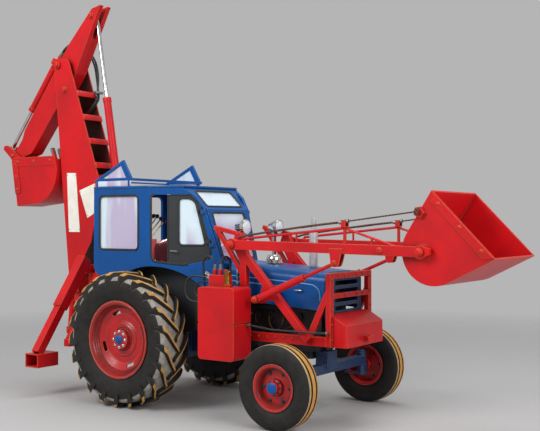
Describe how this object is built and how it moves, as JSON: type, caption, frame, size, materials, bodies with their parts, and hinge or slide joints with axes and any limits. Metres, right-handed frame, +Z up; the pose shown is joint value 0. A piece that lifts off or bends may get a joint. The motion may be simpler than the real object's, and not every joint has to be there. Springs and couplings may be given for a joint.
{
  "type": "backhoe loader",
  "caption": "Early tractor-based backhoe loader: front shovel on rope-tilted lift arms, tapered cab, ladder-type boom with dipper and bucket, sliding stabilisers.",
  "frame": {"origin": "ground point under the middle of the machine's length and width", "axes": "+X forward to the loader bucket, +Y to the driver's left, +Z up"},
  "size_m": [6.6954, 2.06, 4.4901],
  "materials": {
    "red_paint": "gloss enamel",
    "blue_paint": "gloss enamel",
    "dark_paint": "satin",
    "tyre_rubber": "matte",
    "window_glass": "clear",
    "chrome": "polished",
    "hose_rubber": "satin",
    "cast_iron": "rough",
    "red_trim": "satin",
    "steel": "brushed"
  },
  "bodies": {
    "chassis": {"transmission": "blue_paint", "engine": "cast_iron", "nose_cowl": "blue_paint", "bonnet": "blue_paint", "stacks": "chrome", "front_axle": "blue_paint", "loader_frame": "red_paint", "front_guard": "red_paint", "oil_tanks": "red_paint", "pipework": "hose_rubber", "cab_sides": "blue_paint", "cab_front": "blue_paint", "cab_roof": "blue_paint", "cab_rear": "blue_paint", "cab_glass": "window_glass", "roof_screens": "blue_paint", "mudguards": "dark_paint", "seat": "red_trim", "lever_console": "dark_paint", "steering_column": "dark_paint", "headlamps": "chrome", "backhoe_frame": "red_paint"},
    "rear_wheel_right": {"rear_wheel_right": "red_paint", "rear_tyre_right": "tyre_rubber"},
    "knuckle_right": {"knuckle_right": "blue_paint"},
    "front_wheel_right": {"front_wheel_right": "red_paint", "front_tyre_right": "tyre_rubber"},
    "stabiliser_right": {"stabiliser_right": "red_paint"},
    "door_right": {"door_right": "dark_paint", "door_pane_right": "window_glass"},
    "rear_wheel_left": {"rear_wheel_left": "red_paint", "rear_tyre_left": "tyre_rubber"},
    "knuckle_left": {"knuckle_left": "blue_paint"},
    "front_wheel_left": {"front_wheel_left": "red_paint", "front_tyre_left": "tyre_rubber"},
    "stabiliser_left": {"stabiliser_left": "red_paint"},
    "door_left": {"door_left": "dark_paint", "door_pane_left": "window_glass"},
    "loader_arms": {"loader_arms": "red_paint"},
    "loader_bucket": {"loader_bucket": "red_paint"},
    "lift_barrels": {"lift_barrels": "red_paint"},
    "lift_rods": {"lift_rods": "red_paint"},
    "rope_guides": {"rope_guides": "steel"},
    "tilt_ropes": {"tilt_ropes": "red_paint"},
    "slew_post": {"slew_post": "red_paint"},
    "boom": {"boom": "red_paint"},
    "boom_ram_barrel": {"boom_ram_barrel": "red_paint"},
    "boom_ram_rod": {"boom_ram_rod": "chrome"},
    "dipper": {"dipper": "red_paint"},
    "dipper_ram_barrel": {"dipper_ram_barrel": "red_paint"},
    "dipper_ram_rod": {"dipper_ram_rod": "chrome"},
    "digging_bucket": {"digging_bucket": "red_paint"},
    "bucket_ram_barrel": {"bucket_ram_barrel": "red_paint"},
    "bucket_ram_rod": {"bucket_ram_rod": "chrome"}
  },
  "joints": [
    {"name": "rear_right_spin", "type": "hinge", "parent": "chassis", "child": "rear_wheel_right", "pos_m": [-0.55625, -0.805, 0.705], "axis": [0, 1, 0], "continuous": true},
    {"name": "steer_right", "type": "hinge", "parent": "chassis", "child": "knuckle_right", "pos_m": [1.39375, -0.72, 0.4], "axis": [0, 0, 1], "range_deg": [-35, 35]},
    {"name": "front_right_spin", "type": "hinge", "parent": "knuckle_right", "child": "front_wheel_right", "pos_m": [1.39375, -0.87, 0.4], "axis": [0, 1, 0], "continuous": true},
    {"name": "rear_left_spin", "type": "hinge", "parent": "chassis", "child": "rear_wheel_left", "pos_m": [-0.55625, 0.805, 0.705], "axis": [0, 1, 0], "continuous": true},
    {"name": "steer_left", "type": "hinge", "parent": "chassis", "child": "knuckle_left", "pos_m": [1.39375, 0.72, 0.4], "axis": [0, 0, 1], "range_deg": [-35, 35]},
    {"name": "front_left_spin", "type": "hinge", "parent": "knuckle_left", "child": "front_wheel_left", "pos_m": [1.39375, 0.87, 0.4], "axis": [0, 1, 0], "continuous": true},
    {"name": "loader_lift", "type": "hinge", "parent": "chassis", "child": "loader_arms", "pos_m": [0.63375, 0, 1.7], "axis": [0, -1, 0], "range_deg": [-34, 20]},
    {"name": "bucket_dump", "type": "hinge", "parent": "loader_arms", "child": "loader_bucket", "pos_m": [2.68775, 0, 1.663], "axis": [0, 1, 0], "range_deg": [0, 75]},
    {"name": "lift_ram_swing", "type": "hinge", "parent": "chassis", "child": "lift_barrels", "pos_m": [0.92375, 0, 1.165], "axis": [0, -1, 0], "range_deg": [-40.66, 24]},
    {"name": "lift_ram_stroke", "type": "slide", "parent": "lift_barrels", "child": "lift_rods", "axis": [0.9209, 0, 0.3897], "range_m": [-0.3298, 0.1942]},
    {"name": "tilt_rope_swing", "type": "hinge", "parent": "loader_arms", "child": "rope_guides", "pos_m": [1.91375, 0, 1.928], "axis": [0, -1, 0], "range_deg": [-12.72, 0.2]},
    {"name": "tilt_rope_stroke", "type": "slide", "parent": "rope_guides", "child": "tilt_ropes", "axis": [0.9926, 0, 0.1215], "range_m": [-0.0005, 0.398]},
    {"name": "slew", "type": "hinge", "parent": "chassis", "child": "slew_post", "pos_m": [-2.03625, 0, 1.24], "axis": [0, 0, 1], "range_deg": [-80, 80]},
    {"name": "boom_lower", "type": "hinge", "parent": "slew_post", "child": "boom", "pos_m": [-2.03625, 0, 1.24], "axis": [0, -1, 0], "range_deg": [0, 80]},
    {"name": "boom_ram_swing", "type": "hinge", "parent": "slew_post", "child": "boom_ram_barrel", "pos_m": [-2.22625, 0, 0.61], "axis": [0, -1, 0], "range_deg": [-0.2, 42.34]},
    {"name": "boom_ram_stroke", "type": "slide", "parent": "boom_ram_barrel", "child": "boom_ram_rod", "axis": [0.0929, 0, 0.9957], "range_m": [-0.4335, 0.0005]},
    {"name": "dipper_out", "type": "hinge", "parent": "boom", "child": "dipper", "pos_m": [-2.30925, 0, 3.825], "axis": [0, 1, 0], "range_deg": [0, 65]},
    {"name": "dipper_ram_swing", "type": "hinge", "parent": "boom", "child": "dipper_ram_barrel", "pos_m": [-1.48125, 0, 2.47], "axis": [0, -1, 0], "range_deg": [-7.23, 0.2]},
    {"name": "dipper_ram_stroke", "type": "slide", "parent": "dipper_ram_barrel", "child": "dipper_ram_rod", "axis": [-0.1656, 0, 0.9862], "range_m": [-0.7919, 0.0005]},
    {"name": "digging_bucket_dump", "type": "hinge", "parent": "dipper", "child": "digging_bucket", "pos_m": [-3.17575, 0, 2.75996], "axis": [0, 1, 0], "range_deg": [0, 75]},
    {"name": "bucket_ram_swing", "type": "hinge", "parent": "dipper", "child": "bucket_ram_barrel", "pos_m": [-2.49082, 0, 3.89022], "axis": [0, -1, 0], "range_deg": [-0.2, 5.08]},
    {"name": "bucket_ram_stroke", "type": "slide", "parent": "bucket_ram_barrel", "child": "bucket_ram_rod", "axis": [-0.6226, 0, -0.7825], "range_m": [-0.1742, 0.0005]},
    {"name": "stabiliser_right_slide", "type": "slide", "parent": "chassis", "child": "stabiliser_right", "axis": [0, -0.5751, -0.8181], "range_m": [0, 0.37]},
    {"name": "stabiliser_left_slide", "type": "slide", "parent": "chassis", "child": "stabiliser_left", "axis": [0, 0.5751, -0.8181], "range_m": [0, 0.37]},
    {"name": "door_right_swing", "type": "hinge", "parent": "chassis", "child": "door_right", "pos_m": [0.23558, -0.37087, 1.602], "axis": [-0.2497, -0.094, 0.9638], "range_deg": [0, 65]},
    {"name": "door_left_swing", "type": "hinge", "parent": "chassis", "child": "door_left", "pos_m": [0.23558, 0.37087, 1.602], "axis": [0.2497, -0.094, -0.9638], "range_deg": [0, 65]}
  ],
  "couplings": [
    {"joint": "steer_left", "follows": "steer_right", "ratio": 1},
    {"joint": "lift_ram_swing", "follows": "loader_lift", "ratio": 1.19},
    {"joint": "lift_ram_stroke", "follows": "loader_lift", "m_per_rad": 0.555},
    {"joint": "tilt_rope_swing", "follows": "bucket_dump", "ratio": -0.167},
    {"joint": "tilt_rope_stroke", "follows": "bucket_dump", "m_per_rad": 0.3037},
    {"joint": "boom_ram_swing", "follows": "boom_lower", "ratio": 0.5268},
    {"joint": "boom_ram_stroke", "follows": "boom_lower", "m_per_rad": -0.3101},
    {"joint": "dipper_ram_swing", "follows": "dipper_out", "ratio": -0.1081},
    {"joint": "dipper_ram_stroke", "follows": "dipper_out", "m_per_rad": -0.6976},
    {"joint": "bucket_ram_swing", "follows": "digging_bucket_dump", "ratio": 0.065},
    {"joint": "bucket_ram_stroke", "follows": "digging_bucket_dump", "m_per_rad": -0.1327}
  ]
}
